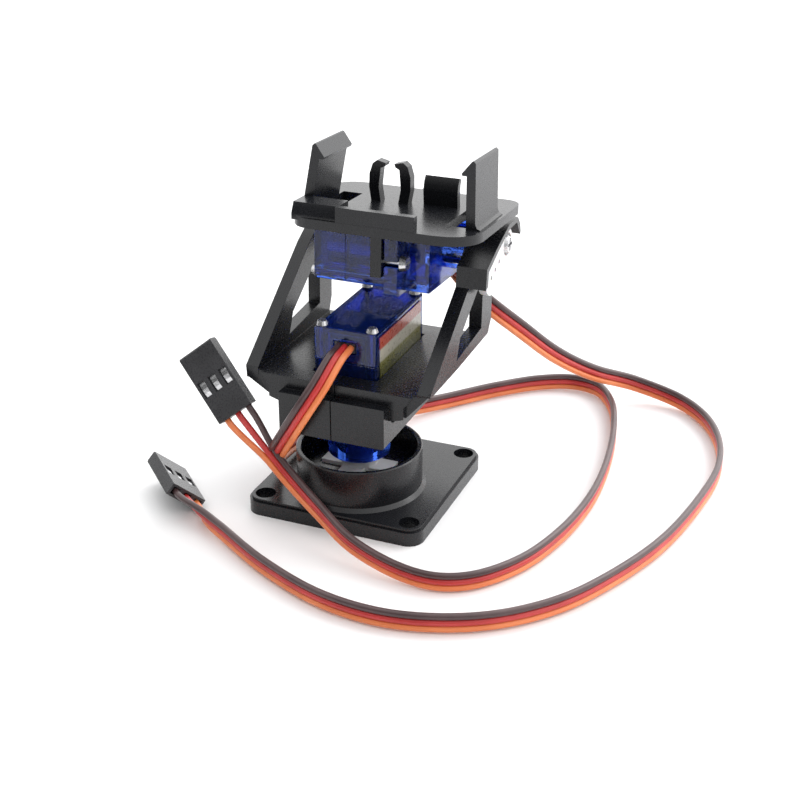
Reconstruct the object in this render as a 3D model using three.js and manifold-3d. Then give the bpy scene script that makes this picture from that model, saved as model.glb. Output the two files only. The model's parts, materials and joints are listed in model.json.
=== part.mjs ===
// Pan and tilt camera mount: a square foot, a clamshell yoke turned by an upside-down
// micro servo, and a clip-on camera plate tilted by a second micro servo.
// Millimetres, +Z up, X from arm to arm, Y from front to back.
import * as THREE from 'three';
import { mergeVertices } from 'three/addons/utils/BufferGeometryUtils.js';
import Module from 'manifold-3d';

const wasm = await Module();
wasm.setup();

// ---- driving dimensions -------------------------------------------------------------
const GAP = 0.3;

// foot
const FOOT = { side: 35, corner: 3, thick: 3.3, edge: 0.6, setBack: 3.5, hole: 3.9, holePitch: 29 };
const COLLAR = { outer: 11.95, wall: 0.9, rim: 11.3, floor: 7.2, fillet: 0.7 };
const FOOT_BORE = 2.8;

// micro servo, in its own frame: origin on the output axis at the bottom cover's face,
// +Z towards the output, +Y towards the motor end
const SERVO = {
  halfWidth: 6.1, front: -5.9, back: 16.9, wall: 1.1, post: 2.5,
  coverTop: 6.2, caseTop: 18.6, lidTop: 22.7, bossTop: 26.7, splineTop: 29.8,
  flangeLow: 15.9, flangeHigh: 18.4, flangeReach: 4.7, earHole: 13.9,
  boss: 5.9, smallBoss: 2.5, smallBossAt: 7.9, spline: 2.4, seam: 0.1,
};
const SERVO_MIDDLE = (SERVO.front + SERVO.back) / 2;
const STICKER = { thick: 0.15, front: -4.4, back: 15.2, low: 21.2, high: 35.6 };
const LEAD_SLOT = { halfWidth: 2.2, low: 2.2, high: 4.4 };
const TRAIN = { idlerAt: 6.25, motorAt: 11.2, outputTip: 4.5, bigTip: 3.85, smallTip: 1.6, pinionTip: 1.0 };
const OUTPUT_TEETH = 24;
const IDLER_TEETH = { big: 26, small: 8 };
const PINION_TEETH = 8;

// where the two servos sit
const PAN_TOP = 36.7;
const TILT_AXIS = { y: 22.8, z: 46.3 };
const TILT_REST = THREE.MathUtils.degToRad(3);
const TILT_BOTTOM = -11.2;

// yoke
const YOKE = { seam: 0.1, box: 10.3, boxFront: -12.5, boxBack: 23.5, boxLow: 17.9, boxHigh: 25.7 };
const SLAB = { top: 28, thick: 2.4, front: -10.5, back: 21.5 };
const ARM = { inner: 15.5, outer: 18, cup: 21.3, cupWall: 1.1 };
const HUB_HOLE = 3.4;
const YOKE_SCREWS = [{ y: -7.6, z: 23.3 }, { y: 18.6, z: 23.3 }];
const YOKE_SCREW_HOLE = { shank: 1.05, head: 1.95, depth: 9.1, seat: 8.2 };

// camera plate, in the tilt frame: origin on the tilt axis
const PLATE = { left: -13.7, right: 22.9, front: -27.3, back: 0.9, top: 8.2, thick: 1.75 };
const PLATE_MIDDLE = 5;
const CLIP = { half: 16.4, front: -21.4, length: 12, thick: 1.7, tall: 12, lean: { left: 0.16, right: 0.02 } };
const EAR = { outer: -14.1, inner: -12.3 };
const BRACKET = { low: 2.3, high: 4.4 };

// leads
const LEAD = { diameter: 3.6, sides: 8, pitch: 8.5 };
const CONNECTOR = { length: 14, width: 7.6, thick: 2.5 };

// ---- finishes -----------------------------------------------------------------------
const FINISH = {
  nylon: { color: 0x24262a, roughness: 0.42, metalness: 0 },
  blue: { color: 0x1b3fae, roughness: 0.18, metalness: 0, transparent: true, opacity: 0.6 },
  white: { color: 0xf0f0ee, roughness: 0.4, metalness: 0 },
  steel: { color: 0xb9bcc0, roughness: 0.3, metalness: 1 },
  board: { color: 0x1d4d34, roughness: 0.5, metalness: 0 },
  connector: { color: 0x1c1c1e, roughness: 0.5, metalness: 0 },
  lead: { color: 0xc4392b, roughness: 0.45, metalness: 0 },
  label: { color: 0x6d6f3a, roughness: 0.35, metalness: 0 },
};

// ---- solids -------------------------------------------------------------------------
function toSolid(geometry) {
  geometry.deleteAttribute('normal');
  geometry.deleteAttribute('uv');
  const merged = mergeVertices(geometry);
  return new wasm.Manifold(new wasm.Mesh({
    numProp: 3,
    vertProperties: merged.attributes.position.array,
    triVerts: new Uint32Array(merged.index.array),
  }));
}

function toGeometry(solid) {
  const mesh = solid.getMesh();
  const geometry = new THREE.BufferGeometry();
  geometry.setAttribute('position', new THREE.BufferAttribute(new Float32Array(mesh.vertProperties), 3));
  geometry.setIndex(new THREE.BufferAttribute(new Uint32Array(mesh.triVerts), 1));
  geometry.computeVertexNormals();
  return geometry;
}

function block([x0, y0, z0], [x1, y1, z1]) {
  const geometry = new THREE.BoxGeometry(x1 - x0, y1 - y0, z1 - z0);
  geometry.translate((x0 + x1) / 2, (y0 + y1) / 2, (z0 + z1) / 2);
  return toSolid(geometry);
}

// a rod along an axis; at holds the two other coordinates, in X, Y, Z order
function rod(axis, radius, from, to, at = [0, 0], sides = 24, endRadius = radius) {
  const geometry = new THREE.CylinderGeometry(endRadius, radius, to - from, sides);
  geometry.translate(0, (from + to) / 2, 0);
  if (axis === 'x') {
    geometry.rotateZ(-Math.PI / 2);
    geometry.translate(0, at[0], at[1]);
  } else if (axis === 'y') {
    geometry.translate(at[0], 0, at[1]);
  } else {
    geometry.rotateX(Math.PI / 2);
    geometry.translate(at[0], at[1], 0);
  }
  return toSolid(geometry);
}

const PLANES = {
  xy: [new THREE.Vector3(1, 0, 0), new THREE.Vector3(0, 1, 0), new THREE.Vector3(0, 0, 1)],
  yz: [new THREE.Vector3(0, 1, 0), new THREE.Vector3(0, 0, 1), new THREE.Vector3(1, 0, 0)],
  xz: [new THREE.Vector3(1, 0, 0), new THREE.Vector3(0, 0, 1), new THREE.Vector3(0, -1, 0)],
};

// an outline, as a Shape or a list of points, extruded across its plane
function prism(plane, outline, from, to, curveSegments = 8) {
  const shape = outline instanceof THREE.Shape
    ? outline
    : new THREE.Shape(outline.map(([u, v]) => new THREE.Vector2(u, v)));
  const geometry = new THREE.ExtrudeGeometry(shape, { depth: to - from, bevelEnabled: false, curveSegments });
  geometry.applyMatrix4(new THREE.Matrix4().makeBasis(...PLANES[plane]));
  const shift = plane === 'xz' ? -to : from;
  geometry.translate(...PLANES[plane][2].clone().multiplyScalar(shift).toArray());
  return toSolid(geometry);
}

function lathe(profile, sides) {
  const geometry = new THREE.LatheGeometry(profile.map(([r, z]) => new THREE.Vector2(r, z)), sides);
  geometry.rotateX(Math.PI / 2);
  return toSolid(geometry);
}

function roundedRectangle(x0, y0, x1, y1, radius) {
  const shape = new THREE.Shape();
  shape.absarc(x1 - radius, y0 + radius, radius, -Math.PI / 2, 0);
  shape.absarc(x1 - radius, y1 - radius, radius, 0, Math.PI / 2);
  shape.absarc(x0 + radius, y1 - radius, radius, Math.PI / 2, Math.PI);
  shape.absarc(x0 + radius, y0 + radius, radius, Math.PI, 1.5 * Math.PI);
  return shape;
}

// a bar with round ends of two radii, between two points
function taperedBar([ax, ay], ra, [bx, by], rb) {
  const along = Math.atan2(by - ay, bx - ax);
  const side = Math.acos((ra - rb) / Math.hypot(bx - ax, by - ay));
  const shape = new THREE.Shape();
  shape.absarc(ax, ay, ra, along + side, along - side + 2 * Math.PI);
  shape.absarc(bx, by, rb, along - side, along + side);
  return shape;
}

function toothed(teeth, tip, depth, from, to, at = [0, 0]) {
  const points = [];
  for (let i = 0; i < 2 * teeth; i += 1) {
    const angle = (Math.PI * i) / teeth;
    const radius = i % 2 ? tip - depth : tip;
    points.push([at[0] + radius * Math.cos(angle), at[1] + radius * Math.sin(angle)]);
  }
  return prism('xy', points, from, to);
}

function union(...solids) {
  return solids.reduce((sum, solid) => sum.add(solid));
}

function cut(solid, ...tools) {
  return tools.reduce((rest, tool) => rest.subtract(tool), solid);
}

const mirrorX = (points) => points.map(([x, z]) => [-x, z]).reverse();

function addPart(group, name, solid, finish) {
  const mesh = new THREE.Mesh(toGeometry(solid), new THREE.MeshStandardMaterial(FINISH[finish]));
  mesh.name = name;
  group.add(mesh);
}

// ---- foot ---------------------------------------------------------------------------
const HORN_LOW = 6.3;
const HORN_ARM = 1.5;
const HORN_SCREWS = [-8, 8];

function crossOutline(grow) {
  const reach = { long: 10 + grow, short: 7 + grow, half: 2.2 + grow };
  const { long, short, half } = reach;
  return [
    [-half, -long], [half, -long], [half, -half], [short, -half], [short, half], [half, half],
    [half, long], [-half, long], [-half, half], [-short, half], [-short, -half], [-half, -half],
  ];
}

function foot() {
  const half = FOOT.side / 2;
  const [y0, y1] = [FOOT.setBack - half, FOOT.setBack + half];
  const slab = prism('xy', roundedRectangle(-half, y0, half, y1, FOOT.corner), 0, FOOT.thick - FOOT.edge, 5);
  const inset = FOOT.edge * 0.7;
  const top = prism(
    'xy',
    roundedRectangle(-half + inset, y0 + inset, half - inset, y1 - inset, FOOT.corner - inset),
    0, FOOT.thick, 5,
  );
  const inner = COLLAR.outer - COLLAR.wall;
  const collar = lathe([
    [0, 0], [COLLAR.outer + COLLAR.fillet, 0], [COLLAR.outer + COLLAR.fillet, FOOT.thick],
    [COLLAR.outer, FOOT.thick + COLLAR.fillet], [COLLAR.outer, COLLAR.rim - 0.2],
    [COLLAR.outer - 0.2, COLLAR.rim], [inner + 0.15, COLLAR.rim], [inner, COLLAR.rim - 0.15],
    [inner, COLLAR.floor], [0, COLLAR.floor],
  ], 56);
  const corner = FOOT.holePitch / 2;
  const holes = [[-corner, -corner], [corner, -corner], [corner, corner], [-corner, corner]].map(
    ([x, y]) => rod('z', FOOT.hole / 2, -1, FOOT.thick + 1, [x, y + FOOT.setBack], 28),
  );
  const hornSeat = prism('xy', crossOutline(GAP), HORN_LOW - GAP, COLLAR.rim);
  const screwHoles = HORN_SCREWS.map((y) => rod('z', 0.9, 3, HORN_LOW, [0, y], 12));
  const underside = cut(
    lathe([[0, -1], [9.6, -1], [9.6, 2.2], [0, 2.2]], 40),
    rod('z', 4.4, -2, 3, [0, 0], 28),
  );
  return cut(
    union(slab, top, collar),
    ...holes, hornSeat, ...screwHoles, underside, rod('z', FOOT_BORE, -1, HORN_LOW, [0, 0], 28),
  );
}

function panHorn() {
  const arms = prism('xy', crossOutline(0), HORN_LOW, HORN_LOW + HORN_ARM);
  const hub = rod('z', 3.5, HORN_LOW, 9.5, [0, 0], 32);
  const socket = rod('z', SERVO.spline + 0.15, HORN_LOW + 0.4, 10, [0, 0], 32);
  const screwHoles = HORN_SCREWS.map((y) => rod('z', 0.9, 3, 9, [0, y], 12));
  return cut(union(arms, hub), socket, rod('z', 1.2, 3, 8, [0, 0], 16), ...screwHoles);
}

// a domed cap screw with a cross slot in its head, its head at 'from', threads at 'to'
function screw(axis, at, headRadius, headTall, shankRadius, from, to) {
  const way = Math.sign(to - from);
  const seat = from + way * headTall;
  const [low, high] = way > 0 ? [from, seat] : [seat, from];
  const radii = way > 0 ? [0.75 * headRadius, headRadius] : [headRadius, 0.75 * headRadius];
  const head = rod(axis, radii[0], low, high, at, 16, radii[1]);
  const shank = rod(axis, shankRadius, Math.min(seat - way * 0.1, to), Math.max(seat - way * 0.1, to), at, 10);
  const slotFloor = from + way * headTall * 0.45;
  const slotEnds = [Math.min(from - way, slotFloor), Math.max(from - way, slotFloor)];
  const slots = [[0.62, 0.14], [0.14, 0.62]].map(([a, b]) => {
    const [u, v] = [a * headRadius, b * headRadius];
    const low3 = { x: [slotEnds[0], at[0] - u, at[1] - v], y: [at[0] - u, slotEnds[0], at[1] - v],
      z: [at[0] - u, at[1] - v, slotEnds[0]] }[axis];
    const high3 = { x: [slotEnds[1], at[0] + u, at[1] + v], y: [at[0] + u, slotEnds[1], at[1] + v],
      z: [at[0] + u, at[1] + v, slotEnds[1]] }[axis];
    return block(low3, high3);
  });
  return cut(union(head, shank), ...slots);
}

// ---- servo --------------------------------------------------------------------------
function servoBody(low, high, inset = 0) {
  const { halfWidth, front, back } = SERVO;
  return prism(
    'xy',
    roundedRectangle(-halfWidth + inset, front + inset, halfWidth - inset, back - inset, 0.5),
    low, high, 3,
  );
}

// the hollow of a case shell: a rectangle with a square post left in each corner
function servoHollow(low, high) {
  const { halfWidth, front, back, wall, post } = SERVO;
  const [x, y0, y1] = [halfWidth - wall, front + wall, back - wall];
  const [px, p0, p1] = [halfWidth - post, front + post, back - post];
  return prism('xy', [
    [-px, y0], [px, y0], [px, p0], [x, p0], [x, p1], [px, p1], [px, y1],
    [-px, y1], [-px, p1], [-x, p1], [-x, p0], [-px, p0],
  ], low, high);
}

function caseScrewPlaces() {
  const [x, y0, y1] = [SERVO.halfWidth - 1.2, SERVO.front + 1.2, SERVO.back - 1.2];
  return [[-x, y0], [x, y0], [x, y1], [-x, y1]];
}

const caseScrewHoles = () => caseScrewPlaces().map((at) => rod('z', 0.85, -1, 20, at, 10));

function bottomCover() {
  const { halfWidth, front, coverTop, wall } = SERVO;
  const slot = block(
    [-LEAD_SLOT.halfWidth, front - 1, LEAD_SLOT.low],
    [LEAD_SLOT.halfWidth, front + wall + 0.1, LEAD_SLOT.high],
  );
  const edge = prism('xz', [
    [-halfWidth, 0.5], [-halfWidth + 0.5, 0], [halfWidth - 0.5, 0], [halfWidth, 0.5],
    [halfWidth, coverTop], [-halfWidth, coverTop],
  ], SERVO.front - 1, SERVO.back + 1);
  const shell = cut(servoBody(0, coverTop).intersect(edge), servoHollow(wall, coverTop + 1));
  return cut(shell, slot, ...caseScrewHoles());
}

function middleCase() {
  const { halfWidth, front, back, coverTop, caseTop, flangeLow, flangeHigh, flangeReach, earHole } = SERVO;
  const ears = prism(
    'xy',
    roundedRectangle(-halfWidth + 0.1, front - flangeReach, halfWidth - 0.1, back + flangeReach, 0.6),
    flangeLow, flangeHigh, 3,
  );
  const earSlots = [-1, 1].flatMap((way) => {
    const y = SERVO_MIDDLE + way * earHole;
    return [
      rod('z', 1.1, flangeLow - 1, flangeHigh + 1, [0, y], 20),
      block([-0.6, Math.min(y, y + way * 4), flangeLow - 1], [0.6, Math.max(y, y + way * 4), flangeHigh + 1]),
    ];
  });
  const partition = [15.6, 16.6];
  return cut(
    union(servoBody(coverTop + SERVO.seam, caseTop), ears),
    servoHollow(coverTop, partition[0]),
    servoHollow(partition[1], caseTop + 1),
    rod('z', 2.0, 15, 17, [0, 0], 20),
    rod('z', 1.6, 15, 17, [0, TRAIN.motorAt], 16),
    ...earSlots, ...caseScrewHoles(),
  );
}

function gearCover() {
  const { caseTop, lidTop, bossTop, seam, boss, smallBoss, smallBossAt } = SERVO;
  const chamfer = 0.4;
  return cut(
    union(
      servoBody(caseTop + seam, lidTop),
      rod('z', boss, lidTop - 0.5, bossTop - chamfer, [0, 0], 44),
      rod('z', boss, bossTop - chamfer, bossTop, [0, 0], 44, boss - chamfer),
      rod('z', smallBoss, lidTop - 0.5, bossTop, [0, smallBossAt], 28),
      block([-1.6, 5, lidTop - 0.5], [1.6, smallBossAt, bossTop]),
    ),
    servoHollow(caseTop, lidTop - 1),
    rod('z', SERVO.spline + 0.25, lidTop - 2, bossTop + 1, [0, 0], 28),
    ...caseScrewHoles(),
  );
}

function outputShaft() {
  return cut(
    union(
      rod('z', 1.3, 10.5, 19.4, [0, 0], 14),
      toothed(OUTPUT_TEETH, TRAIN.outputTip, 0.35, 19.2, 20.4),
      rod('z', SERVO.spline - 0.1, 20.2, 27, [0, 0], 28),
      toothed(20, SERVO.spline, 0.18, 26.9, SERVO.splineTop),
    ),
    rod('z', 1.1, 22, SERVO.splineTop + 1, [0, 0], 14),
  );
}

function idlerGear() {
  const at = [0, TRAIN.idlerAt];
  return union(
    toothed(IDLER_TEETH.big, TRAIN.bigTip, 0.3, 17.2, 18.3, at),
    toothed(IDLER_TEETH.small, TRAIN.smallTip, 0.35, 18.2, 20.6, at),
    rod('z', 0.5, 16.7, 21.5, at, 10),
  );
}

function motorPinion() {
  const at = [0, TRAIN.motorAt];
  return union(
    toothed(PINION_TEETH, TRAIN.pinionTip, 0.3, 16.9, 18.7, at),
    rod('z', 0.5, 14, 17, at, 10),
  );
}

function motor() {
  const at = [0, TRAIN.motorAt];
  return cut(
    union(rod('z', 4.1, 2, 15.3, at, 28), rod('z', 1.4, 1.5, 2.1, at, 16)),
    rod('z', 0.8, 13.5, 16, at, 10),
  );
}

function potentiometer() {
  return cut(
    union(rod('z', 3.8, 7, 12.4, [0, 0], 24), block([-2.4, -3.4, 4.6], [2.4, -2.2, 8])),
    rod('z', 1.6, 9.8, 13, [0, 0], 14),
  );
}

function board() {
  return union(
    block([-4.6, -3.2, 2], [4.6, 6, 2.9]),
    block([-2, 0, 2.8], [2, 4.2, 4.1]),
    block([-4, -2, 2.8], [-3, 1, 3.5]),
    block([2.8, -1, 2.8], [3.9, 1.6, 3.7]),
  );
}

function leadGrommet() {
  return cut(
    block(
      [-LEAD_SLOT.halfWidth + 0.2, SERVO.front + 0.1, LEAD_SLOT.low + 0.2],
      [LEAD_SLOT.halfWidth - 0.2, SERVO.front + 2.3, LEAD_SLOT.high - 0.2],
    ),
    block([-0.1, SERVO.front - 1, LEAD_SLOT.low], [0.1, SERVO.front + 0.5, LEAD_SLOT.high]),
  );
}

function addServo(group, prefix) {
  addPart(group, `${prefix}_servo_bottom_cover`, bottomCover(), 'blue');
  addPart(group, `${prefix}_servo_case`, middleCase(), 'blue');
  addPart(group, `${prefix}_servo_gear_cover`, gearCover(), 'blue');
  caseScrewPlaces().forEach((at, i) => {
    addPart(group, `${prefix}_case_screw_${i + 1}`, screw('z', at, 1.1, 0.8, 0.55, -0.85, 19.6), 'steel');
  });
  addPart(group, `${prefix}_motor`, motor(), 'steel');
  addPart(group, `${prefix}_motor_pinion`, motorPinion(), 'white');
  addPart(group, `${prefix}_idler_gear`, idlerGear(), 'white');
  addPart(group, `${prefix}_output_shaft`, outputShaft(), 'white');
  addPart(group, `${prefix}_potentiometer`, potentiometer(), 'steel');
  addPart(group, `${prefix}_circuit_board`, board(), 'board');
  addPart(group, `${prefix}_lead_grommet`, leadGrommet(), 'connector');
}

// ---- yoke ---------------------------------------------------------------------------
const HEAD = {
  left: [[12.9, 45.2], [21.5, 49.8], [26.4, 49.8], [27.8, 48.2], [28, 45.8]],
  right: [[8.9, 42], [9.3, 45.9], [15.2, 48.4], [21.5, 50.6], [26.6, 50.5], [28.1, 48.8], [28.1, 46]],
  chin: [22.4, 38.6],
};

function armOutline(side, skirt) {
  return [
    [SLAB.front + 0.8, skirt], [SLAB.front + 0.6, 28.6], ...HEAD[side], HEAD.chin,
    [22.2, 31], [20.5, skirt + 0.5], [4, skirt],
  ];
}

// the triangular window between the front strut, the rear strut and the lower member
const WINDOW = [[3.2, 30], [16.6, 31.3], [17, 40.4], [15.4, 40.8], [5, 33.9]];

// the curb that runs around the front and top of the right arm's head
function cupWall() {
  const inside = [
    [28.3, 46.6], [27.2, 47.9], [26.1, 49.6], [21.7, 49.6], [15.6, 47.4], [10.4, 45.1], [10, 42.4],
  ];
  return prism('yz', [...HEAD.right.slice(0, -1), [28.6, 47.1], ...inside], ARM.outer - 0.5, ARM.cup);
}

// half section of the floor and its flared underside, right half, as X and Z
function floorSection(skirt) {
  return [
    [YOKE.seam, SLAB.top - SLAB.thick], [YOKE.box - 1, SLAB.top - SLAB.thick - 0.1],
    [YOKE.box - 1, 22.8], [YOKE.box + 0.8, 22.9], [13.4, 23.6], [ARM.outer - 0.6, skirt - 0.1],
    [ARM.outer - 0.1, skirt + 0.8], [ARM.inner + 0.4, SLAB.top], [YOKE.seam, SLAB.top],
  ];
}

function servoRoom() {
  const { halfWidth, front, back, flangeReach } = SERVO;
  return union(
    block([-halfWidth - GAP, front - GAP, 0], [halfWidth + GAP, back + GAP, 60]),
    block(
      [-halfWidth - GAP, front - flangeReach - GAP, 0],
      [halfWidth + GAP, back + flangeReach + GAP, PAN_TOP - SERVO.flangeLow + GAP],
    ),
  );
}

function yokeHalf(side) {
  const right = side > 0;
  const skirt = right ? 28.2 : 26.2;
  const face = (points) => (right ? points : mirrorX(points));
  const span = (near, far) => (right ? [near, far] : [-far, -near]);
  const section = floorSection(skirt);
  const floor = prism('xz', face(section), SLAB.front, SLAB.back);
  const box = prism('xz', face([
    [YOKE.seam, YOKE.boxLow], [YOKE.box - 0.3, YOKE.boxLow], [YOKE.box, YOKE.boxLow + 0.3],
    [YOKE.box, YOKE.boxHigh], [YOKE.seam, YOKE.boxHigh],
  ]), YOKE.boxFront, YOKE.boxBack);
  const [a0, a1] = span(ARM.inner, ARM.outer);
  const arm = prism('yz', armOutline(right ? 'right' : 'left', skirt), a0, a1);
  const window = prism('yz', WINDOW, a0 - 1, a1 + 1);
  const frontTrim = prism('xz', face([
    [13.2, 0], [13.2, SLAB.top - SLAB.thick + 0.1], [ARM.inner - 0.4, SLAB.top + 0.5], [30, 60], [30, 0],
  ]), SLAB.front - 1, SLAB.front + 0.8);
  const [s0, s1] = span(YOKE.box - 0.6, YOKE.box + 1);
  const slot = block([s0, 3, YOKE.boxLow + 1.4], [s1, 4.6, YOKE.boxHigh - 1.6]);
  const { shank, head, depth, seat } = YOKE_SCREW_HOLE;
  const screwHoles = YOKE_SCREWS.flatMap(({ y, z }) => [
    rod('x', shank, -depth, depth, [y, z], 14),
    rod('x', head, seat, ARM.cup, [y, z], 20),
  ]);
  const half = cut(union(cut(floor, frontTrim), box, arm), servoRoom(), window, slot, ...screwHoles);
  if (right) {
    const bossRecess = rod('x', SERVO.boss + 0.4, 10, ARM.inner + 0.4, [TILT_AXIS.y, TILT_AXIS.z], 40);
    const hubHole = rod('x', HUB_HOLE, 10, 19, [TILT_AXIS.y, TILT_AXIS.z], 32);
    return cut(union(half, cupWall()), hubHole, bossRecess);
  }
  return cut(half, rod('x', 1.6, -19, -10, [TILT_AXIS.y, TILT_AXIS.z], 20));
}

// ---- tilt horn and pivots -----------------------------------------------------------
const TILT_HORN = { hub: 3.1, plate: [19.1, 20.6], end: 2.9, tip: [-8.4, -3.5], tipRadius: 3.6 };

// hub through the arm, and a long plate that lies in the cup, around the tilt axis
function tiltHorn() {
  const [low, high] = TILT_HORN.plate;
  const plate = prism('yz', taperedBar([0, 0], TILT_HORN.end, TILT_HORN.tip, TILT_HORN.tipRadius), low, high, 8);
  const hub = rod('x', TILT_HORN.hub, 16.3, low + 0.1, [0, 0], 32);
  const socket = rod('x', SERVO.spline + 0.12, 16, 18.9, [0, 0], 28);
  const screwHole = rod('x', 1.2, 15, 22, [0, 0], 16);
  const counterbore = rod('x', 2.2, 20, 22, [0, 0], 24);
  const holes = [0.55, 0.8, 1.05].map((share) => (
    rod('x', 0.45, 18, 22, TILT_HORN.tip.map((value) => value * share), 10)
  ));
  return cut(union(plate, hub), socket, screwHole, counterbore, ...holes);
}

// ---- camera plate, around the tilt axis ---------------------------------------------
function clipProfile(side) {
  const [base, top] = [PLATE.top - 0.5, PLATE.top + CLIP.tall];
  const lean = (side < 0 ? CLIP.lean.left : CLIP.lean.right) * CLIP.tall;
  const { thick } = CLIP;
  const points = [
    [-1, 0, base], [-0.9, 0, PLATE.top + 0.15], [-0.3, 0.03, PLATE.top + 0.4],
    [0, 0.1, PLATE.top + 1.1], [0.1, 1, top - 0.4], [0.5, 1, top], [0.8, 1, top - 0.1],
    [thick + 0.9, 0.9, top - 2.3], [thick + 0.8, 0.88, top - 2.7], [thick, 0.87, top - 2.7],
    [thick, 0, base],
  ];
  const outline = points.map(([depth, share, z]) => (
    [PLATE_MIDDLE + side * (CLIP.half - depth - share * lean), z]
  ));
  return side > 0 ? outline : outline.reverse();
}

function clip(side) {
  return prism('xz', clipProfile(side), CLIP.front, CLIP.front + CLIP.length);
}

// a bowed prong whose tip hooks back over the middle
function prong(x, side) {
  const outer = [[0, -0.5], [0.55, 2.6], [0.5, 5], [-0.1, 6.9], [-1, 7.6]];
  const inner = [[-2.7, 7.2], [-2.5, 6.6], [-1.7, 6.2], [-1.35, 2.6], [-1.9, -0.5]];
  const outline = [...outer, ...inner].map(([u, z]) => [x + side * u, PLATE.top + z]);
  return prism('xz', side > 0 ? outline : outline.reverse(), -10.8, -8.8);
}

function tab() {
  const [low, top] = [PLATE.top - 0.5, PLATE.top];
  return prism('yz', [
    [-9, low], [-9.2, top + 1], [-9.4, top + 2.6], [-9.1, top + 4.2], [-8.4, top + 5.3],
    [-7.5, top + 5], [-7.9, top + 4], [-8.1, top + 2.6], [-7.9, top + 1], [-7.6, low],
  ], 7.1, 13.7);
}

function plateOutline() {
  const { left, right, front, back } = PLATE;
  const shape = new THREE.Shape();
  shape.moveTo(left + 6, front);
  shape.lineTo(right - 7, front);
  shape.bezierCurveTo(right - 3, front + 0.2, right - 0.3, front + 2.2, right, front + 6);
  shape.lineTo(right, back - 3);
  shape.absarc(right - 3, back - 3, 3, 0, Math.PI / 2);
  shape.lineTo(left + 5, back);
  shape.absarc(left + 5, back - 5, 5, Math.PI / 2, Math.PI);
  shape.bezierCurveTo(left, front + 2.8, left + 2.6, front + 0.3, left + 6, front);
  return shape;
}

function cameraPlate() {
  const { front, top, thick } = PLATE;
  const low = top - thick;
  const { front: bodyFront, back: bodyBack, earHole } = SERVO;
  const [v0, v1] = [-bodyBack - GAP, -bodyFront + GAP];
  const plate = prism('xy', plateOutline(), low, top, 8);
  const rib = union(
    block([-2.3, front + 0.05, top - 0.5], [12.4, front + 1.5, top + 2.7]),
    prism('yz', [
      [front + 0.4, top - 0.5], [front + 0.4, top + 0.6], [front + 1.3, top + 2.5],
      [front + 5.9, top + 2.5], [front + 5.9, top - 0.5],
    ], PLATE_MIDDLE - CLIP.half + 0.5, -2.4),
  );
  const prongs = union(prong(-2.45, -1), prong(4.6, 1));
  const inner = CLIP.half - CLIP.thick;
  const windows = [[-inner, -10.9], [10.6, inner]].map(([x0, x1]) => (
    block([PLATE_MIDDLE + x0, CLIP.front + 0.9, low - 1], [PLATE_MIDDLE + x1, CLIP.front + 14.3, top + 1])
  ));
  const frame = cut(
    union(
      prism('yz', [[-22.3, -2.4], [-16, -2.4], [-16, low + 0.5], [-22.3, low + 0.5]], BRACKET.low, BRACKET.high),
      prism('yz', [[5, -2.4], [11, -2.4], [11, 4.6], [9.2, low + 0.6], [5, top]], BRACKET.low, BRACKET.high),
      prism('yz', [[-20, 6], [9, 6], [8, top - 0.4], [-20, top - 0.4]], BRACKET.low, BRACKET.high),
    ),
    block([BRACKET.low - 1, v0, -10], [BRACKET.high + 1, v1, SERVO.halfWidth + GAP]),
    ...[-1, 1].map((way) => rod('x', 0.95, 0, 8, [-SERVO_MIDDLE + way * earHole, 0], 14)),
  );
  const ear = cut(
    prism('yz', [
      [-4.2, low + 0.5], [-4.2, 0], [-3.2, -3], [0, -4.2], [3.2, -3], [4.2, 0], [4.2, 4.4], [0.6, low + 0.5],
    ], EAR.outer, EAR.inner),
    rod('x', 1.15, -16, -12, [0, 0], 16),
  );
  return union(cut(plate, ...windows), rib, prongs, tab(), clip(-1), clip(1), frame, ear);
}

// ---- leads --------------------------------------------------------------------------
// routes of the two flat leads, from the servo to the wires' entry into the connector
const PAN_ROUTE = [
  [0, -6.5, 33.4], [-0.2, -9.6, 32.7], [-1.6, -13.6, 28.8], [-4.2, -15.6, 24], [-7.4, -15.2, 18.8],
  [-10.8, -12.4, 13.8], [-14, -8.2, 9.2], [-16.4, -2.4, 6.4], [-16.8, 5, 5.6], [-14.6, 14, 5.6],
  [-10.4, 23.4, 5.4], [-5, 32.4, 2.8], [1.4, 41, 2], [10, 51, 2], [17.9, 58.2, 2], [24.6, 61.2, 2],
  [30.4, 60, 2], [35.2, 53.4, 2], [38.9, 41.7, 2], [41.6, 25.4, 2], [42.2, 11.2, 2], [40.6, -2.6, 2],
  [36.8, -14.6, 2], [31, -22.6, 2], [25.4, -25.4, 2], [18.6, -25.2, 2.2], [7.8, -21.8, 3.4],
  [-1, -16.8, 5.8], [-8.4, -13.4, 9.2], [-14.2, -12, 14], [-18.4, -12.6, 19.6],
];
const TILT_ROUTE = [
  [-7.9, 29.1, 46], [-7.9, 32.4, 45.2], [-5.3, 35, 42.8], [-0.6, 35, 40.4], [4.4, 32.6, 37.8],
  [9.4, 30.2, 34.8], [14.8, 30.2, 30.6], [20, 34.6, 24.6], [25.4, 43.4, 16], [31.2, 53.6, 8.6],
  [38.6, 60.6, 4.4], [48.4, 60.2, 2.2], [55.4, 53.6, 2], [60.2, 43.6, 2], [62.2, 32.2, 2], [61.4, 18.8, 2],
  [58.2, 1.2, 2], [52.9, -13, 2], [46.9, -23.8, 2], [39.1, -31.8, 2], [30.3, -36.6, 2], [20.5, -38.8, 2],
  [9.2, -37.6, 2], [-4.4, -32, 2], [-16, -25.2, 2.2], [-22, -22, 2.8], [-27, -18.9, 3.5],
];
const PAN_PLUG_END = [-27.3, -10.4, 29.8];
const TILT_PLUG_END = [-37.3, -8.9, 3.5];

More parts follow.
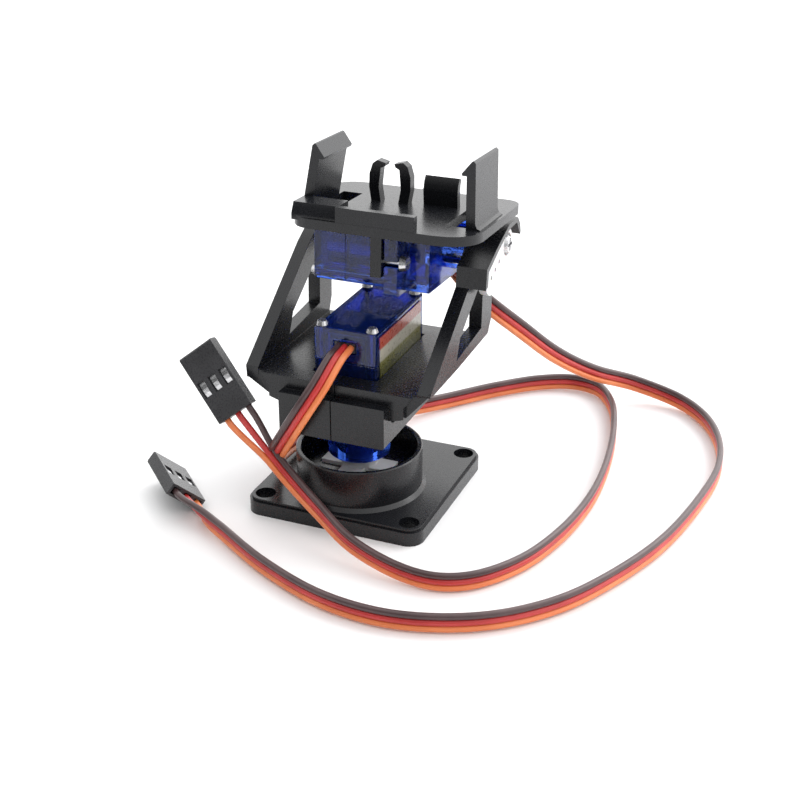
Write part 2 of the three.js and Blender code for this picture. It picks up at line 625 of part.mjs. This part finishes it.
function lead(route) {
  const points = route.map((point) => new THREE.Vector3(...point));
  const curve = new THREE.CatmullRomCurve3(points, false, 'centripetal');
  const section = new THREE.Shape();
  for (let i = 0; i < LEAD.sides; i += 1) {
    const angle = (2 * Math.PI * i) / LEAD.sides;
    const [u, v] = [Math.cos(angle), Math.sin(angle)].map((value) => (value * LEAD.diameter) / 2);
    if (i === 0) {
      section.moveTo(u, v);
    } else {
      section.lineTo(u, v);
    }
  }
  const steps = Math.round(curve.getLength() / LEAD.pitch);
  return toSolid(new THREE.ExtrudeGeometry(section, { steps, extrudePath: curve, bevelEnabled: false }));
}

// a three-way socket housing: wires enter at the origin, +Y towards its contacts
function connector() {
  const { length, width, thick } = CONNECTOR;
  const body = prism('yz', [
    [0, -thick / 2], [length - 0.3, -thick / 2], [length, 0.3 - thick / 2],
    [length, thick / 2 - 0.3], [length - 0.3, thick / 2], [0, thick / 2],
  ], -width / 2, width / 2);
  const pitch = 2.54;
  const tools = [-pitch, 0, pitch].flatMap((x) => [
    block([x - 0.75, -1, -0.75], [x + 0.75, 2.5, 0.75]),
    block([x - 0.5, length - 4, -0.5], [x + 0.5, length + 1, 0.5]),
    block([x - 0.8, 5.2, thick / 2 - 0.5], [x + 0.8, 8.4, thick]),
  ]);
  return cut(body, ...tools);
}

function placeConnector(group, name, start, end, flat) {
  const along = new THREE.Vector3(...end).sub(new THREE.Vector3(...start)).normalize();
  const across = flat.clone().cross(along).normalize().negate();
  const up = across.clone().cross(along);
  const holder = new THREE.Group();
  holder.quaternion.setFromRotationMatrix(new THREE.Matrix4().makeBasis(across, along, up));
  holder.position.copy(new THREE.Vector3(...start).addScaledVector(along, 0.5));
  addPart(holder, name, connector(), 'connector');
  group.add(holder);
}

// ---- assembly -----------------------------------------------------------------------
const mount = new THREE.Group();

addPart(mount, 'base', foot(), 'nylon');
addPart(mount, 'pan_horn', panHorn(), 'white');
HORN_SCREWS.forEach((y, i) => {
  const top = HORN_LOW + HORN_ARM + 1;
  addPart(mount, `pan_horn_screw_${i + 1}`, screw('z', [0, y], 1.3, 0.9, 0.6, top, 3.4), 'steel');
});
addPart(mount, 'pan_spline_screw', screw('z', [0, 0], 2.2, 1.5, 0.85, 4.4, 12.4), 'steel');

addPart(mount, 'yoke_left', yokeHalf(-1), 'nylon');
addPart(mount, 'yoke_right', yokeHalf(1), 'nylon');
YOKE_SCREWS.forEach(({ y, z }, i) => {
  addPart(mount, `yoke_screw_${i + 1}`, screw('x', [y, z], 1.8, 1.4, 0.9, 9.9, -8.5), 'steel');
});

const panServo = new THREE.Group();
panServo.position.set(0, 0, PAN_TOP);
panServo.rotation.y = Math.PI;
addServo(panServo, 'pan');
const stickerFace = SERVO.halfWidth + 0.05;
addPart(mount, 'pan_servo_sticker', block(
  [stickerFace, STICKER.front, STICKER.low],
  [stickerFace + STICKER.thick, STICKER.back, STICKER.high],
), 'label');
mount.add(panServo);

const tiltFrame = new THREE.Group();
tiltFrame.position.set(0, TILT_AXIS.y, TILT_AXIS.z);
tiltFrame.rotation.x = -TILT_REST;
mount.add(tiltFrame);

const tiltServo = new THREE.Group();
tiltServo.position.set(TILT_BOTTOM, 0, 0);
tiltServo.quaternion.setFromRotationMatrix(new THREE.Matrix4().makeBasis(
  new THREE.Vector3(0, 0, 1), new THREE.Vector3(0, -1, 0), new THREE.Vector3(1, 0, 0),
));
addServo(tiltServo, 'tilt');
tiltFrame.add(tiltServo);

addPart(tiltFrame, 'camera_plate', cameraPlate(), 'nylon');
[-1, 1].forEach((way, i) => {
  const at = [-SERVO_MIDDLE + way * SERVO.earHole, 0];
  const head = TILT_BOTTOM + SERVO.flangeHigh + 0.1 + 1.1;
  addPart(tiltFrame, `tilt_flange_screw_${i + 1}`, screw('x', at, 1.7, 1.1, 0.75, head, 1.6), 'steel');
});
addPart(tiltFrame, 'left_pivot_screw', screw('x', [0, 0], 2.4, 1.4, 0.95, -19.6, -12.8), 'steel');

const armFrame = new THREE.Group();
armFrame.position.set(0, TILT_AXIS.y, TILT_AXIS.z);
addPart(armFrame, 'tilt_horn', tiltHorn(), 'white');
addPart(armFrame, 'tilt_horn_screw', screw('x', [0, 0], 2.0, 1.1, 0.8, 21.1, 12.8), 'steel');
mount.add(armFrame);

// the origin is the middle of the object's footprint, on the surface it stands on
const room = new THREE.Box3().setFromObject(mount, true);
const origin = new THREE.Vector3((room.min.x + room.max.x) / 2, (room.min.y + room.max.y) / 2, 0);

addPart(mount, 'pan_lead', lead(PAN_ROUTE), 'lead');
addPart(mount, 'tilt_lead', lead(TILT_ROUTE), 'lead');
placeConnector(mount, 'pan_connector', PAN_ROUTE.at(-1), PAN_PLUG_END, new THREE.Vector3(-0.15, -0.85, 0.5));
placeConnector(mount, 'tilt_connector', TILT_ROUTE.at(-1), TILT_PLUG_END, new THREE.Vector3(0.46, 0.47, 0.75));

mount.position.sub(origin);
const assembly = new THREE.Group();
assembly.add(mount);

export default assembly;
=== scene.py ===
import json
import math

import bmesh
import bpy
from mathutils import Matrix, Vector

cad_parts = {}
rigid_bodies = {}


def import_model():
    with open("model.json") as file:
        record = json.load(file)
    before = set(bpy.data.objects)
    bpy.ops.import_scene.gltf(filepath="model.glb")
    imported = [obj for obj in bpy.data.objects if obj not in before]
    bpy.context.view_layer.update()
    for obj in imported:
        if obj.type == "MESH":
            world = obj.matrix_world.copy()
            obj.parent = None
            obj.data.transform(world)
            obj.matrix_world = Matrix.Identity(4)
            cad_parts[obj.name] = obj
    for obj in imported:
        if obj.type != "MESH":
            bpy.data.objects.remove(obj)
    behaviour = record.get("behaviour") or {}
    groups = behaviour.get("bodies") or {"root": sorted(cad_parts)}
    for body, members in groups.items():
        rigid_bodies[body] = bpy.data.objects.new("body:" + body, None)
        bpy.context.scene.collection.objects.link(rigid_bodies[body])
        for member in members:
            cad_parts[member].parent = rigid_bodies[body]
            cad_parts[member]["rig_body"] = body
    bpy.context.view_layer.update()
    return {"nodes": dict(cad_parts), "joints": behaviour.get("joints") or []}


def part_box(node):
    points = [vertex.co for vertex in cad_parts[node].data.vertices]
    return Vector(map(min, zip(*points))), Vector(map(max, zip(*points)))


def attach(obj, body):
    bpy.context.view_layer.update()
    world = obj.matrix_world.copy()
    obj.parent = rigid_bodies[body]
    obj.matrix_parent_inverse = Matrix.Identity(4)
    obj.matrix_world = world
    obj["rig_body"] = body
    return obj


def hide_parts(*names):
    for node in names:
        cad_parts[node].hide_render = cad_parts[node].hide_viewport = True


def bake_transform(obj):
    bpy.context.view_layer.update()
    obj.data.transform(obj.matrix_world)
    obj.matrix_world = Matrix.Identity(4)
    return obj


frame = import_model()
NODES = frame["nodes"]

MM = 0.001
PAN_AXIS = Vector(next(j for j in frame["joints"] if j["name"] == "pan")["pos_m"])


def place(x, y, z):
    """A point in millimetres around the pan axis, as a point of the row frame in metres."""
    return Vector((PAN_AXIS.x + x * MM, PAN_AXIS.y + y * MM, z * MM))


# ---- camera ----------------------------------------------------------------------------
CAMERA_AT = (97.3, -217.2, 135.3)
CAMERA_YAW = 0.389
CAMERA_PITCH = 0.450
CAMERA_LENS = 63.9


def make_camera():
    data = bpy.data.cameras.new("camera")
    data.lens = CAMERA_LENS
    data.sensor_width = 36
    data.clip_start = 0.01
    data.clip_end = 20
    camera = bpy.data.objects.new("camera", data)
    camera.location = place(*CAMERA_AT)
    camera.rotation_euler = (math.pi / 2 - CAMERA_PITCH, 0, CAMERA_YAW)
    bpy.context.scene.collection.objects.link(camera)
    bpy.context.scene.camera = camera


# ---- materials -------------------------------------------------------------------------
def link(material, a, b):
    material.node_tree.links.new(a, b)


def add(material, kind, **values):
    node = material.node_tree.nodes.new(kind)
    for name, value in values.items():
        node.inputs[name.replace("_", " ")].default_value = value
    return node


def shader(material):
    return material.node_tree.nodes["Principled BSDF"]


def surface(name, **sockets):
    """A material with its constants set on the shader's own sockets."""
    material = bpy.data.materials.new(name)
    material.use_nodes = True
    for key, value in sockets.items():
        shader(material).inputs[key.replace("_", " ")].default_value = value
    return material


def object_point(material, stretch=None):
    """Object coordinates, stretched along an axis for drawn or brushed marks."""
    coordinates = add(material, "ShaderNodeTexCoord")
    if stretch is None:
        return coordinates.outputs["Object"]
    mapping = add(material, "ShaderNodeMapping", Scale=stretch)
    link(material, coordinates.outputs["Object"], mapping.inputs["Vector"])
    return mapping.outputs["Vector"]


def noise(material, point, scale, detail=4.0, rough=0.55):
    node = add(material, "ShaderNodeTexNoise", Scale=scale, Detail=detail, Roughness=rough)
    link(material, point, node.inputs["Vector"])
    return node.outputs["Fac"]


def ramp(material, value, stops):
    node = material.node_tree.nodes.new("ShaderNodeValToRGB")
    elements = node.color_ramp.elements
    while len(elements) < len(stops):
        elements.new(0.5)
    for element, (position, colour) in zip(elements, stops):
        element.position = position
        element.color = (*colour, 1)
    link(material, value, node.inputs["Fac"])
    return node.outputs["Color"]


def spread(material, value, low, high):
    node = add(material, "ShaderNodeMapRange", From_Min=0.3, From_Max=0.7, To_Min=low, To_Max=high)
    link(material, value, node.inputs["Value"])
    return node.outputs["Result"]


def bump(material, heights, strength, distance):
    node = add(material, "ShaderNodeBump", Strength=strength, Distance=distance)
    link(material, heights, node.inputs["Height"])
    link(material, node.outputs["Normal"], shader(material).inputs["Normal"])


def textured(name, dark, light, rough, scales, depth, stretch=None, **sockets):
    """Colour drifts between dark and light, roughness drifts, and a fine grain raises the face."""
    material = surface(name, **sockets)
    point = object_point(material, stretch)
    broad = noise(material, point, scales[0])
    fine = noise(material, point, scales[1], 6.0, 0.6)
    colour = ramp(material, broad, [(0.3, dark), (0.7, light)])
    link(material, colour, shader(material).inputs["Base Color"])
    link(material, spread(material, fine, *rough), shader(material).inputs["Roughness"])
    bump(material, fine, 0.35, depth)
    return material


def black_plastic():
    return textured(
        "moulded_black_nylon", (0.005, 0.0055, 0.007), (0.009, 0.0095, 0.012), (0.20, 0.34),
        (90, 2600), 0.000008, IOR=1.5, Specular_IOR_Level=0.42,
    )


def clear_blue():
    return textured(
        "see_through_blue", (0.025, 0.085, 0.46), (0.05, 0.13, 0.60), (0.03, 0.08),
        (60, 900), 0.00002, IOR=1.49, Transmission_Weight=0.93, Specular_IOR_Level=0.6,
    )


def white_nylon():
    return textured(
        "white_nylon", (0.56, 0.56, 0.57), (0.66, 0.66, 0.67), (0.28, 0.42),
        (120, 2200), 0.00002, Subsurface_Weight=0.12, Subsurface_Scale=0.001,
    )


def steel():
    return textured(
        "plated_steel", (0.50, 0.50, 0.51), (0.74, 0.74, 0.75), (0.18, 0.34),
        (400, 3000), 0.00001, stretch=(1, 1, 6), Metallic=1.0,
    )


def pressed_can():
    return textured(
        "pressed_can", (0.30, 0.30, 0.31), (0.46, 0.46, 0.47), (0.3, 0.5),
        (300, 2500), 0.00002, stretch=(1, 1, 4), Metallic=1.0,
    )


def connector_black():
    return textured(
        "socket_housing", (0.024, 0.024, 0.026), (0.040, 0.040, 0.043), (0.22, 0.36),
        (150, 3200), 0.00003, IOR=1.5,
    )


def circuit_board():
    """Green lacquer over paler copper tracks."""
    material = surface("circuit_board", Roughness=0.3, Coat_Weight=0.4)
    point = object_point(material)
    tracks = add(material, "ShaderNodeTexBrick", Scale=420, Mortar_Size=0.03)
    link(material, point, tracks.inputs["Vector"])
    tracks.inputs["Color1"].default_value = (0.010, 0.070, 0.035, 1)
    tracks.inputs["Color2"].default_value = (0.014, 0.090, 0.045, 1)
    tracks.inputs["Mortar"].default_value = (0.050, 0.200, 0.090, 1)
    link(material, tracks.outputs["Color"], shader(material).inputs["Base Color"])
    bump(material, noise(material, point, 1500), 0.3, 0.00003)
    return material


def sticker_film():
    """Printed bands: olive below, pale and red-orange above, with no lettering."""
    material = surface("sticker_film", Coat_Weight=0.5, Coat_Roughness=0.15)
    low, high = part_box("pan_servo_sticker")
    axes = add(material, "ShaderNodeSeparateXYZ")
    point = object_point(material)
    link(material, point, axes.inputs["Vector"])
    height = add(
        material, "ShaderNodeMapRange", From_Min=low.z, From_Max=high.z, To_Min=0.0, To_Max=1.0,
    )
    link(material, axes.outputs["Z"], height.inputs["Value"])
    bands = ramp(material, height.outputs["Result"], [
        (0.0, (0.05, 0.05, 0.012)), (0.55, (0.10, 0.10, 0.018)), (0.66, (0.20, 0.19, 0.04)),
        (0.69, (0.50, 0.47, 0.36)), (0.83, (0.55, 0.52, 0.42)), (0.86, (0.42, 0.06, 0.03)),
    ])
    link(material, bands, shader(material).inputs["Base Color"])
    grain = noise(material, point, 1400)
    link(material, spread(material, grain, 0.22, 0.4), shader(material).inputs["Roughness"])
    bump(material, grain, 0.2, 0.00002)
    return material


def insulation(name, dark, light):
    return textured(
        name, dark, light, (0.28, 0.42), (160, 1800), 0.00003,
        Coat_Weight=0.15, Coat_Roughness=0.3, IOR=1.5,
    )


# ---- leads -----------------------------------------------------------------------------
# the routes of the two flat leads, from the servo to the connector, in mm around the pan axis
PAN_ROUTE = [
    (0, -6.5, 33.4), (-0.2, -9.6, 32.7), (-1.6, -13.6, 28.8), (-4.2, -15.6, 24),
    (-7.4, -15.2, 18.8), (-10.8, -12.4, 13.8), (-14, -8.2, 9.2), (-16.4, -2.4, 6.4),
    (-16.8, 5, 5.6), (-14.6, 14, 5.6), (-10.4, 23.4, 5.4), (-5, 32.4, 2.8), (1.4, 41, 2),
    (10, 51, 2), (17.9, 58.2, 2), (24.6, 61.2, 2), (30.4, 60, 2), (35.2, 53.4, 2),
    (38.9, 41.7, 2), (41.6, 25.4, 2), (42.2, 11.2, 2), (40.6, -2.6, 2), (36.8, -14.6, 2),
    (31, -22.6, 2), (25.4, -25.4, 2), (18.6, -25.2, 2.2), (7.8, -21.8, 3.4),
    (-1, -16.8, 5.8), (-8.4, -13.4, 9.2), (-14.2, -12, 14), (-18.4, -12.6, 19.6),
]
TILT_ROUTE = [
    (-7.9, 29.1, 46), (-7.9, 32.4, 45.2), (-5.3, 35, 42.8), (-0.6, 35, 40.4),
    (4.4, 32.6, 37.8), (9.4, 30.2, 34.8), (14.8, 30.2, 30.6), (20, 34.6, 24.6),
    (25.4, 43.4, 16), (31.2, 53.6, 8.6), (38.6, 60.6, 4.4), (48.4, 60.2, 2.2),
    (55.4, 53.6, 2), (60.2, 43.6, 2), (62.2, 32.2, 2), (61.4, 18.8, 2), (58.2, 1.2, 2),
    (52.9, -13, 2), (46.9, -23.8, 2), (39.1, -31.8, 2), (30.3, -36.6, 2), (20.5, -38.8, 2),
    (9.2, -37.6, 2), (-4.4, -32, 2), (-16, -25.2, 2.2), (-22, -22, 2.8), (-27, -18.9, 3.5),
]
# which way the brown wire lies from the orange one, at points of the route
PAN_SIDES = {
    0: (-1, 0, 0.1), 3: (-0.8, -0.2, 0.5), 7: (-0.5, -0.2, 0.8), 11: (0, 0, 1), 25: (0, 0, 1),
    30: (0.71, 0.21, 0.58),
}
TILT_SIDES = {0: (0, 0, 1), 24: (0, 0, 1), 26: (-0.52, -0.54, 0.66)}
PAN_PLUG = {"end": (-27.3, -10.4, 29.8), "flat": (-0.15, -0.85, 0.5)}
TILT_PLUG = {"end": (-37.3, -8.9, 3.5), "flat": (0.46, 0.47, 0.75)}

WIRE_RADIUS = 0.62 * MM
WIRE_PITCH = 1.18 * MM
CONTACT_PITCH = 2.54 * MM
SPLIT = 11 * MM
IN_SLOT = 0.9 * MM
IN_SOCKET = 2 * MM
WIRE_SIDES = 12
SAMPLES = 14
# a spring contact, in mm in the connector's own axes: its side view as Y and Z, and its section
CONTACT_PROFILE = [(5.35, 0.80), (6.1, 0.98), (6.9, 1.02), (7.7, 0.94), (8.25, 0.80)]
CONTACT_HALF = 0.6
CONTACT_THICK = 0.18


def catmull_rom(points):
    """A centripetal curve through the points, as samples of (place along the route, point)."""
    ends = [points[0] * 2 - points[1], *points, points[-1] * 2 - points[-2]]
    out = []
    for i in range(len(points) - 1):
        p = ends[i : i + 4]
        t = [0.0]
        for a, b in zip(p, p[1:]):
            t.append(t[-1] + math.sqrt((b - a).length))
        for k in range(SAMPLES):
            at = t[1] + (t[2] - t[1]) * k / SAMPLES
            a1, a2, a3 = (p[j].lerp(p[j + 1], (at - t[j]) / (t[j + 1] - t[j])) for j in range(3))
            b1 = a1.lerp(a2, (at - t[0]) / (t[2] - t[0]))
            b2 = a2.lerp(a3, (at - t[1]) / (t[3] - t[1]))
            out.append((i + k / SAMPLES, b1.lerp(b2, (at - t[1]) / (t[2] - t[1]))))
    out.append((len(points) - 1.0, points[-1]))
    return out


def side_at(sides, at):
    keys = sorted(sides)
    for a, b in zip(keys, keys[1:]):
        if at <= b:
            share = (at - a) / (b - a)
            share = share * share * (3 - 2 * share)
            return Vector(sides[a]).normalized().lerp(Vector(sides[b]).normalized(), share)
    return Vector(sides[keys[-1]])


def lengths(points):
    out = [0.0]
    for a, b in zip(points, points[1:]):
        out.append(out[-1] + (b - a).length)
    return out


def tube(mesh, points, directions, sides, radius, material_index):
    """Adds a closed round tube around the points to the mesh."""
    rings = []
    for point, along, side in zip(points, directions, sides):
        up = along.cross(side).normalized()
        across = up.cross(along).normalized()
        ring = []
        for i in range(WIRE_SIDES):
            angle = 2 * math.pi * i / WIRE_SIDES
            offset = across * math.cos(angle) + up * math.sin(angle)
            ring.append(mesh.verts.new(point + offset * radius))
        rings.append(ring)
    faces = []
    for a, b in zip(rings, rings[1:]):
        for i in range(WIRE_SIDES):
            j = (i + 1) % WIRE_SIDES
            faces.append(mesh.faces.new((a[i], a[j], b[j], b[i])))
    faces.append(mesh.faces.new(list(reversed(rings[0]))))
    faces.append(mesh.faces.new(rings[-1]))
    for face in faces:
        face.material_index = material_index
        face.smooth = True


def ribbon(name, route, sides, plug, wires, first, last):
    """Three wires side by side between two points of the route. They part before the connector."""
    samples = catmull_rom([place(*p) for p in route])
    points = [point for _, point in samples]
    at = lengths(points)
    low, high = first * SAMPLES, last * SAMPLES + 1
    into = (place(*plug["end"]) - points[-1]).normalized()
    directions = [(points[1] - points[0]).normalized()]
    directions += [(b - a).normalized() for a, b in zip(points, points[2:])]
    directions.append(into)
    across = []
    for (place_along, _), along in zip(samples, directions):
        side = side_at(sides, place_along)
        across.append((side - along * side.dot(along)).normalized())
    mesh = bmesh.new()
    for index in range(3):
        way = 1 - index
        line = []
        for i, point in enumerate(points):
            left = max(0.0, 1 - (at[-1] - at[i]) / SPLIT)
            gap = WIRE_PITCH + (CONTACT_PITCH - WIRE_PITCH) * left * left * (3 - 2 * left)
            line.append(point + across[i] * gap * way)
        if first == 0:
            line[0] = line[0] - directions[0] * IN_SLOT
        if high == len(points):
            line[-1] = line[-1] + into * IN_SOCKET
        tube(mesh, line[low:high], directions[low:high], across[low:high], WIRE_RADIUS, index)
    data = bpy.data.meshes.new(name)
    mesh.to_mesh(data)
    mesh.free()
    for material in wires:
        data.materials.append(material)
    piece = bpy.data.objects.new(name, data)
    bpy.context.scene.collection.objects.link(piece)
    return piece, points[low:high], at[-1]


def plug_frame(route, plug):
    """The connector's own axes: X across the wires, Y along them, Z out of its windows."""
    start = place(*route[-1])
    along = (place(*plug["end"]) - start).normalized()
    across = -Vector(plug["flat"]).cross(along).normalized()
    up = across.cross(along)
    axes = Matrix((across, along, up)).transposed().to_4x4()
    return Matrix.Translation(start + along * 0.5 * MM) @ axes


def contacts(name, body, where, material):
    """The three bent spring contacts in the connector's windows."""
    mesh = bmesh.new()
    for x in (-2.54, 0, 2.54):
        left, right = x - CONTACT_HALF, x + CONTACT_HALF
        rows = []
        for y, z in CONTACT_PROFILE:
            low = z - CONTACT_THICK
            corners = [(left, y, z), (right, y, z), (right, y, low), (left, y, low)]
            rows.append([mesh.verts.new(where @ (Vector(c) * MM)) for c in corners])
        for a, b in zip(rows, rows[1:]):
            for i in range(4):
                j = (i + 1) % 4
                mesh.faces.new((a[i], a[j], b[j], b[i]))
        mesh.faces.new(list(reversed(rows[0])))
        mesh.faces.new(rows[-1])
    data = bpy.data.meshes.new(name)
    bmesh.ops.recalc_face_normals(mesh, faces=mesh.faces)
    mesh.to_mesh(data)
    mesh.free()
    data.materials.append(material)
    piece = bpy.data.objects.new(name, data)
    bpy.context.scene.collection.objects.link(piece)
    bevel = piece.modifiers.new("edges", "BEVEL")
    bevel.width = 0.05 * MM
    bevel.segments = 2
    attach(piece, body)
    return piece


# ---- moulded pieces ---------------------------------------------------------------------
BEVEL_ANGLE = math.radians(32)
FLAT_ANGLE = math.radians(0.8)
WELD = 0.002 * MM
EDGE = {"black": 0.22 * MM, "white": 0.2 * MM, "blue": 0.15 * MM}


def moulding(node, body, material, width):
    """The node's shape with small rounded edges, standing for the node."""
    mesh = bmesh.new()
    mesh.from_mesh(NODES[node].data)
    bmesh.ops.remove_doubles(mesh, verts=mesh.verts, dist=WELD)
    bmesh.ops.dissolve_limit(
        mesh, angle_limit=FLAT_ANGLE, verts=mesh.verts, edges=mesh.edges,
    )
    for face in mesh.faces:
        face.smooth = True
        face.material_index = 0
    data = bpy.data.meshes.new(node + "_moulding")
    mesh.to_mesh(data)
    mesh.free()
    for attribute in ("custom_normal", "sharp_face", "sharp_edge"):
        if attribute in data.attributes:
            data.attributes.remove(data.attributes[attribute])
    data.materials.append(material)
    piece = bpy.data.objects.new(node + "_moulding", data)
    bpy.context.scene.collection.objects.link(piece)
    bevel = piece.modifiers.new("edges", "BEVEL")
    bevel.width = width
    bevel.segments = 2
    bevel.limit_method = "ANGLE"
    bevel.angle_limit = BEVEL_ANGLE
    bevel.use_clamp_overlap = True
    bevel.harden_normals = True
    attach(piece, body)
    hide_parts(node)
    return piece


def body_of_node(node):
    return NODES[node]["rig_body"]


def paint(node, material):
    data = NODES[node].data
    data.materials.clear()
    data.materials.append(material)


# ---- studio ----------------------------------------------------------------------------
def make_floor():
    bpy.ops.mesh.primitive_plane_add(size=12, location=(0, 0, 0))
    floor = bpy.context.object
    floor.name = "floor"
    floor.data.materials.append(textured(
        "studio_floor", (0.80, 0.80, 0.81), (0.82, 0.82, 0.82), (0.5, 0.6), (3, 300), 0.00001,
    ))


def area_light(name, at, towards, size, power, colour=(1, 1, 1)):
    data = bpy.data.lights.new(name, "AREA")
    data.size = size
    data.energy = power
    data.color = colour
    light = bpy.data.objects.new(name, data)
    light.location = at
    light.rotation_euler = (Vector(towards) - Vector(at)).to_track_quat("-Z", "Y").to_euler()
    bpy.context.scene.collection.objects.link(light)


def make_world():
    """A bright white surround above and behind, darker in front."""
    world = bpy.data.worlds.new("studio")
    world.use_nodes = True
    nodes, links = world.node_tree.nodes, world.node_tree.links
    background = nodes["Background"]
    coordinates = nodes.new("ShaderNodeTexCoord")
    facing = nodes.new("ShaderNodeVectorMath")
    facing.operation = "DOT_PRODUCT"
    facing.inputs[1].default_value = (0.42, 0.72, 0.55)
    strength = nodes.new("ShaderNodeMapRange")
    strength.inputs["From Min"].default_value = -0.5
    strength.inputs["From Max"].default_value = 0.9
    strength.inputs["To Min"].default_value = 0.12
    strength.inputs["To Max"].default_value = 2.4
    links.new(coordinates.outputs["Generated"], facing.inputs[0])
    links.new(facing.outputs["Value"], strength.inputs["Value"])
    links.new(strength.outputs["Result"], background.inputs["Strength"])
    background.inputs["Color"].default_value = (1, 1, 1, 1)
    bpy.context.scene.world = world


# ---- the scene -------------------------------------------------------------------------
make_camera()

WIRES = [
    insulation("brown_insulation", (0.050, 0.026, 0.028), (0.085, 0.048, 0.048)),
    insulation("red_insulation", (0.46, 0.024, 0.024), (0.58, 0.040, 0.038)),
    insulation("orange_insulation", (0.74, 0.19, 0.060), (0.84, 0.25, 0.085)),
]
STEEL = steel()
# the last number is the route point where a separate first piece, across the tilt joint, ends
LEADS = [
    ("pan", PAN_ROUTE, PAN_SIDES, PAN_PLUG, 0),
    ("tilt", TILT_ROUTE, TILT_SIDES, TILT_PLUG, 4),
]
# each lead passes from the turning yoke to the floor between two places; both ends of the pan
# lead do, because its connector is carried by the yoke
for side, route, sides, plug, first in LEADS:
    piece, path, length = ribbon(
        f"{side}_ribbon", route, sides, plug, WIRES, first, len(route) - 1,
    )
    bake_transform(piece)
    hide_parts(f"{side}_lead")
    body = body_of_node(f"{side}_connector")
    metal = contacts(f"{side}_contacts", body, plug_frame(route, plug), STEEL)
    if first:
        stretch, _, _ = ribbon(f"{side}_ribbon_start", route, sides, plug, WIRES, 0, first)
        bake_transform(stretch)

BLACK, BLUE, WHITE = black_plastic(), clear_blue(), white_nylon()
CONNECTOR, CAN, BOARD = connector_black(), pressed_can(), circuit_board()

for node in ("base", "yoke_left", "yoke_right", "camera_plate"):
    moulding(node, body_of_node(node), BLACK, EDGE["black"])
for node in ("pan_horn", "tilt_horn"):
    moulding(node, body_of_node(node), WHITE, EDGE["white"])
for side in ("pan", "tilt"):
    for part in ("bottom_cover", "case", "gear_cover"):
        node = f"{side}_servo_{part}"
        moulding(node, body_of_node(node), BLUE, EDGE["blue"])

for name in NODES:
    if "screw" in name or name.endswith("_motor"):
        paint(name, STEEL)
    elif name.endswith(("_pinion", "_idler_gear", "_output_shaft")):
        paint(name, WHITE)
    elif name.endswith("potentiometer"):
        paint(name, CAN)
    elif name.endswith("circuit_board"):
        paint(name, BOARD)
    elif name.endswith(("connector", "grommet")):
        paint(name, CONNECTOR)
paint("pan_servo_sticker", sticker_film())

make_floor()
make_world()
area_light("key", (0.45, 0.55, 0.75), (0, 0, 0.03), 0.6, 4)
area_light("fill", (-0.6, -0.3, 0.5), (0, 0, 0.03), 0.6, 1)
bpy.context.scene.view_settings.view_transform = "Standard"
